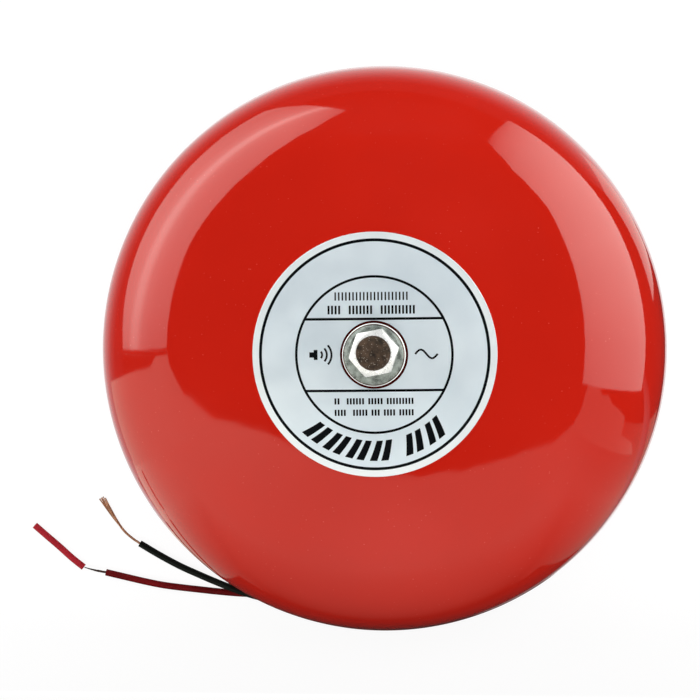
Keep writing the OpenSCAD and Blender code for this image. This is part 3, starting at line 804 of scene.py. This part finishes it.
def copper_strands(name, route, finish, count, bundle, fan, seed):
    """Fine wires, twisted together near the insulation and fanned out flat at their ends."""
    wires = random.Random(seed)
    line = smooth_route(route)
    parts = []
    for k in range(count):
        ring = 0.5 if k % 3 == 0 else 1.0
        start = ROUND * k / count
        aim = fan * (2 * (k + 0.5) / count - 1 + wires.uniform(-STRAND_SCATTER, STRAND_SCATTER))
        last = len(line) - 1 - wires.choice((0, 0, 1, 1, 2)) * (fan > 0)
        path = []
        for i in range(last + 1):
            share = i / (len(line) - 1)
            ahead = (line[min(i + 1, len(line) - 1)] - line[max(i - 1, 0)]).normalized()
            flat = Vector((-ahead.y, ahead.x, 0)).normalized()
            rise = ahead.cross(flat)
            angle = start + STRAND_TWIST * share * ROUND
            opened = max(0.0, (share - STRAND_PARTS_AT) / (1 - STRAND_PARTS_AT))
            across = bundle * ring * math.cos(angle) * (1 - opened) + aim * opened
            point = line[i] + flat * across + rise * (bundle * ring * math.sin(angle))
            point.z = max(point.z, STRAND_R)
            path.append(point)
        parts.append(sweep(path, STRAND_R, 6))
    return add_mesh(name, *merge(parts), finish, sharp=60)


def hollow_stub(name, route, finish):
    """A short length of insulation with its bore open at the far end."""
    line = smooth_route(route, 5)
    deep = line[-2] + (line[-1] - line[-2]) * 0.2
    points, faces = sweep(line, LEAD_R, STUB_SIDES)
    faces = faces[:-1]
    end = (len(line) - 1) * STUB_SIDES
    ahead = (line[-1] - line[-2]).normalized()
    lip, bottom = [], []
    for k in range(STUB_SIDES):
        spoke = (Vector(points[end + k]) - line[-1]) / LEAD_R
        lip.append(line[-1] + spoke * STUB_BORE)
        bottom.append(deep - ahead * LEAD_R + spoke * STUB_BORE)
    first = len(points)
    second = first + STUB_SIDES
    points = points + lip + bottom
    for k in range(STUB_SIDES):
        m = (k + 1) % STUB_SIDES
        faces.append((end + k, end + m, first + m, first + k))
        faces.append((first + k, first + m, second + m, second + k))
    faces.append(tuple(second + k for k in range(STUB_SIDES)))
    return add_mesh(name, points, faces, finish)


def make_leads():
    """Two flying leads with bare ends, lying on the surface the bell lies on."""
    for colour, route, strand_route, strand_finish, count, bundle, fan, seed in (
            ("black", BLACK_ROUTE, BLACK_STRAND_ROUTE, "copper", 16, 0.30 * MM, 1.25 * MM, 5),
            ("red", RED_ROUTE, RED_STRAND_ROUTE, "dull_copper", 9, 0.30 * MM, 0.0, 8)):
        lead, length = lead_curve(colour + "_lead", route, colour + "_lead")
        strands = copper_strands(colour + "_strands", strand_route, strand_finish, count, bundle, fan, seed)
        pieces = [(lead, colour + "_lead", "lead_" + colour), (strands, "copper", "lead_%s_strands" % colour)]
        if colour == "red":
            stub = hollow_stub("red_lead_stub", RED_STUB_ROUTE, "red_stub")
            pieces.append((stub, "red_stub", "lead_red_stub"))
        for piece, slot, node in pieces:
            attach(piece, "base")
            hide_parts(node)


# ---------------------------------------------------------------- gong and plate

def gong_side(depth, steps):
    """The gong's curve at a depth below its outer face, from the seat to the rim."""
    seat_angle = math.asin(SEAT_R / CROWN_R)
    crown = arc((0, CROWN_Z), CROWN_R - depth, seat_angle, JOIN_ANGLE, steps)
    shoulder = arc((SHOULDER_RHO, SHOULDER_Z), SHOULDER_R - depth, JOIN_ANGLE, SKIRT_ANGLE, 2 * steps)
    foot = (RIM_R - depth * math.sin(SKIRT_ANGLE), RIM_Z - depth * math.cos(SKIRT_ANGLE))
    return [*crown, *shoulder[1:], foot]


def make_gong():
    """The pressed gong, with a flat seat for the bolt and a softly rounded rim edge."""
    seat_z = crown_z(SEAT_R)
    outer, inner = gong_side(0, 24), gong_side(SHEET, 24)
    down = Vector((math.cos(SKIRT_ANGLE), -math.sin(SKIRT_ANGLE)))
    across = Vector((-math.sin(SKIRT_ANGLE), -math.cos(SKIRT_ANGLE)))
    foot = Vector(outer.pop())
    inner.pop()
    lowest = foot - down * RIM_ROUND
    rim = []
    for centre, first in ((lowest + across * RIM_ROUND, 0), (lowest + across * (SHEET - RIM_ROUND), 90)):
        for i in range(6):
            angle = math.radians(first + 90 * i / 5)
            rim.append(tuple(centre - across * RIM_ROUND * math.cos(angle)
                             + down * RIM_ROUND * math.sin(angle)))
    hole = [(HOLE_R, seat_z - SHEET + HOLE_BREAK), (HOLE_R, seat_z - HOLE_BREAK),
            (HOLE_R + HOLE_BREAK, seat_z)]
    profile = [*hole, *outer, *rim, *reversed(inner), (HOLE_R + HOLE_BREAK, seat_z - SHEET)]
    gong = add_mesh("gong_shell", *lathe(profile, GONG_STEPS), "red_enamel", sharp=40)
    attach(gong, "gong_assembly")
    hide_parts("gong")


def print_quads():
    """The plate's print, apart from its rings, as four-cornered patches in millimetres."""
    quads = []

    def bar(x0, x1, y0, y1, lean=0.0):
        quads.append([(x0, y0), (x1, y0), (x1 + lean, y1), (x0 + lean, y1)])

    def stroke(line, width):
        for (ax, ay), (bx, by) in zip(line, line[1:]):
            long = math.hypot(bx - ax, by - ay)
            nx, ny = -(by - ay) / long * width / 2, (bx - ax) / long * width / 2
            quads.append([(ax - nx, ay - ny), (bx - nx, by - ny), (bx + nx, by + ny), (ax + nx, ay + ny)])

    def row(width, y, height, gaps, pitch, share):
        """A row of upright ticks, standing for a line of small print."""
        count = int(width / pitch)
        for i in range(count):
            if i not in gaps:
                x = -width / 2 + i * pitch
                bar(x, x + pitch * share, y - height / 2, y + height / 2)

    # Two straight lines across the inner ring
    for y in LINE_YS:
        reach = math.sqrt(LINE_REACH_R ** 2 - y ** 2)
        stroke([(-reach + 2 * reach * i / 24, y) for i in range(25)], LINE_W)
    # Rows of ticks in place of small print
    for ticks in TICK_ROWS:
        row(*ticks)
    # A loudspeaker with its sound waves on the left, and a wave line on the right
    for radius in SOUND_RADII:
        stroke([(SOUND_X + radius * math.cos(a), SOUND_Y + radius * math.sin(a)) for a in
                [SOUND_OPEN * (i / 5 - 1) for i in range(11)]], SIGN_W)
    bar(-22.1, -20.6, -0.8, 1.0)
    bar(-20.6, -19.3, -1.6, 1.8)
    stroke([(WAVE_X + WAVE_L * i / 24, WAVE_Y + WAVE_H * math.sin(ROUND * i / 24)) for i in range(25)],
           SIGN_W)
    # Bold slanted bars along the bottom, two to a place
    for place in BOLD_PLACES:
        for side in (-BOLD_SIDE, BOLD_SIDE):
            start, wide, lean = (math.radians(v) for v in (270 + place + side, BOLD_WIDE, BOLD_LEAN))
            ladder = []
            for i in range(BOLD_STEPS + 1):
                radius = BOLD_INNER + (BOLD_OUTER - BOLD_INNER) * i / BOLD_STEPS
                angle = start + lean * (i / BOLD_STEPS - 0.5)
                ladder.append(tuple((radius * math.cos(a), radius * math.sin(a)) for a in
                                    (angle - wide / 2, angle + wide / 2)))
            for (a, b), (c, d) in zip(ladder, ladder[1:]):
                quads.append([a, c, d, b])
    return quads


def make_plate():
    """The round foil plate and the thin print on it."""
    top = PLATE_BASE + PLATE_T
    centre = (0, CROWN_Z)
    first, last = math.asin(PLATE_HOLE_R / CROWN_R), math.asin(PLATE_R / CROWN_R)
    slim = PLATE_EDGE / CROWN_R
    profile = [*arc(centre, CROWN_R + top, first + slim, last - slim, 20),
               arc(centre, CROWN_R + top - PLATE_EDGE, last, last, 1)[0],
               *arc(centre, CROWN_R + PLATE_BASE, last, first, 20),
               arc(centre, CROWN_R + top - PLATE_EDGE, first, first, 1)[0]]
    plate = add_mesh("foil_plate", *lathe(profile, PLATE_STEPS), "printed_foil")
    parts = []
    for outer, width in PRINT_RINGS:
        a, b = math.asin((outer - width) / CROWN_R), math.asin(outer / CROWN_R)
        parts.append(lathe([*arc(centre, CROWN_R + top + PRINT_T, a, b, 2),
                            *arc(centre, CROWN_R + top - PRINT_T, b, a, 2)], PLATE_STEPS))
    turn = Matrix.Rotation(PRINT_TURN, 2)
    for quad in print_quads():
        corners = [turn @ Vector(corner) * MM for corner in quad]
        points = [(c.x, c.y, crown_z(c.length, top + lift)) for lift in (-PRINT_T, PRINT_T) for c in corners]
        faces = [(3, 2, 1, 0), (4, 5, 6, 7), (0, 1, 5, 4), (1, 2, 6, 5), (2, 3, 7, 6), (3, 0, 4, 7)]
        parts.append((points, faces))
    ink = add_mesh("plate_print", *merge(parts), "print_ink")
    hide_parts("nameplate")
    for piece in (plate, ink):
        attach(piece, "gong_assembly")


# ---------------------------------------------------------------- bolt and washer

def hexagon(angle, radius, z, foot_z):
    """A radius of the head, cut back to the hexagon's flats between its foot and its face."""
    if radius < FACE_R or z < foot_z:
        return radius
    away = (angle + HEAD_TURN) % (math.pi / 3) - math.pi / 6
    return min(radius, HALF_FLATS / math.cos(away))


def bolt_head(base_z, top_z, flange_r):
    """The dished head and its flange, with a finish each for the face, the flats and the flange."""
    corner = HALF_FLATS / math.cos(math.pi / 6)
    foot_z = base_z + HEXAGON_FOOT
    chamfer = [(FACE_R + (corner - FACE_R) * i / CHAMFER_STEPS,
                top_z - CHAMFER_DROP * (i / CHAMFER_STEPS) ** 1.5) for i in range(CHAMFER_STEPS + 1)]
    side = [(corner, foot_z + (top_z - CHAMFER_DROP - foot_z) * i / 4) for i in range(4)]
    flange = [(AXIS_R, base_z), (flange_r - 0.15 * MM, base_z), (flange_r, base_z + 0.15 * MM),
              (flange_r, base_z + 0.6 * MM), (flange_r - 0.35 * MM, base_z + 0.8 * MM),
              (corner + 0.6 * MM, base_z + 1.5 * MM), (corner + 0.1 * MM, base_z + 1.9 * MM)]
    dish = [(FACE_R - 0.15 * MM, top_z - 0.1 * MM), (FACE_R - 0.35 * MM, top_z - 0.5 * MM),
            (FACE_R - 0.8 * MM, top_z - 0.7 * MM), (2.5 * MM, top_z - 0.85 * MM), (AXIS_R, top_z - 0.9 * MM)]
    round_points, faces = lathe([*flange, *side, *reversed(chamfer), *dish], BOLT_STEPS,
                                lambda angle, radius, z: hexagon(angle, radius, z, foot_z))
    points = []
    for x, y, z in round_points:
        rise = min(max((z - base_z - 0.8 * MM) / (1.3 * MM), 0), 1)
        points.append((x + HEAD_SKEW.x * rise, y + HEAD_SKEW.y * rise, z))
    head = add_mesh("bolt_head", points, faces, "bright_zinc", sharp=24)
    head.data.materials.append(FINISHES["bolt_face"])
    head.data.materials.append(FINISHES["bolt_flange"])
    for polygon in head.data.polygons:
        middle = polygon.center
        off_axis = math.hypot(middle.x - HEAD_SKEW.x, middle.y - HEAD_SKEW.y)
        if middle.z < base_z + 0.75 * MM:
            polygon.material_index = 1
        elif middle.z < foot_z:
            polygon.material_index = 2
        elif middle.z > top_z - 1.2 * MM and off_axis < FACE_R:
            polygon.material_index = 1
    return head


def bolt_shank(low_z, base_z):
    """The threaded shank, its thread as rings."""
    turns = int((base_z - low_z - 3 * MM) / THREAD_PITCH)
    start_z = low_z + 0.8 * MM
    crests = [(SHANK_R - THREAD_DEPTH * abs(i % 6 / 3 - 1), start_z + THREAD_PITCH * i / 6)
              for i in range(turns * 6 + 1)]
    body = [(AXIS_R, low_z), (SHANK_R - 1.0 * MM, low_z), *crests,
            (SHANK_R, start_z + THREAD_PITCH * turns + 0.8 * MM), (SHANK_R, base_z), (AXIS_R, base_z)]
    return add_mesh("bolt_shank", *lathe(body, 72), "bright_zinc")


def bright_washer(low, high):
    """The washer under the flange, its edges softened."""
    outer_r = (high.x - low.x) / 2
    ring = [(WASHER_HOLE_R, low.z), (outer_r - WASHER_BEVEL, low.z), (outer_r, low.z + WASHER_BEVEL),
            (outer_r, high.z - WASHER_BEVEL), (outer_r - WASHER_BEVEL, high.z), (WASHER_HOLE_R, high.z)]
    return add_mesh("bright_washer", *lathe(ring, 96), "washer_zinc")


def make_bolt():
    """An M10 flange bolt and its washer."""
    low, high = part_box("gong_bolt")
    washer_low, washer_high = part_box("plain_washer")
    head = bolt_head(washer_high.z, high.z, (high.x - low.x) / 2)
    shank = bolt_shank(low.z, washer_high.z)
    washer = bright_washer(washer_low, washer_high)
    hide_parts("gong_bolt")
    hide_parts("plain_washer")
    for piece in (head, shank, washer):
        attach(piece, "bolt")


# ---------------------------------------------------------------- striker and back

def make_spring():
    """The return spring, with closed ends."""
    low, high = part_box("return_spring")
    axis_z = (low.z + high.z) / 2
    mean_r = (high.x - low.x) / 2 - SPRING_WIRE_R
    steps = 40 * SPRING_TURNS
    line = []
    for i in range(steps + 1):
        share = i / steps
        eased = min(max((share * SPRING_TURNS - CLOSED_TURNS) / (SPRING_TURNS - 2 * CLOSED_TURNS), 0), 1)
        angle = ROUND * SPRING_TURNS * share
        climb = CLOSED_PITCH * share + (1 - CLOSED_PITCH) * eased
        y = low.y + SPRING_WIRE_R + (high.y - low.y - 2 * SPRING_WIRE_R) * climb
        line.append(Vector((mean_r * math.cos(angle), y, axis_z + mean_r * math.sin(angle))))
    tube = sweep(line, SPRING_WIRE_R, 12, Vector((0, 1, 0)))
    spring = add_mesh("spring_wire", *tube, "spring_steel", sharp=60)
    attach(spring, "base")
    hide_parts("return_spring")
    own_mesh(spring)


def finish_frame_nodes():
    """The CAD's own pieces keep their shape and get softened edges and their real finish."""
    slots = {entry["node"]: entry["material_slot"] for entry in frame["record"]["subparts"]}
    for name, node in frame["nodes"].items():
        if node.hide_render:
            continue
        node.data.materials.clear()
        node.data.materials.append(FINISHES[slots[name]])
        weld = node.modifiers.new("weld", "WELD")
        weld.merge_threshold = WELD_GAP
        soften = node.modifiers.new("soften", "BEVEL")
        soften.width = SOFT_EDGE
        soften.segments = 2
        soften.limit_method = "ANGLE"
        soften.angle_limit = SOFT_ANGLE


make_camera()
FINISHES = make_finishes()
make_leads()
make_gong()
make_plate()
make_bolt()
make_spring()
finish_frame_nodes()
make_studio()
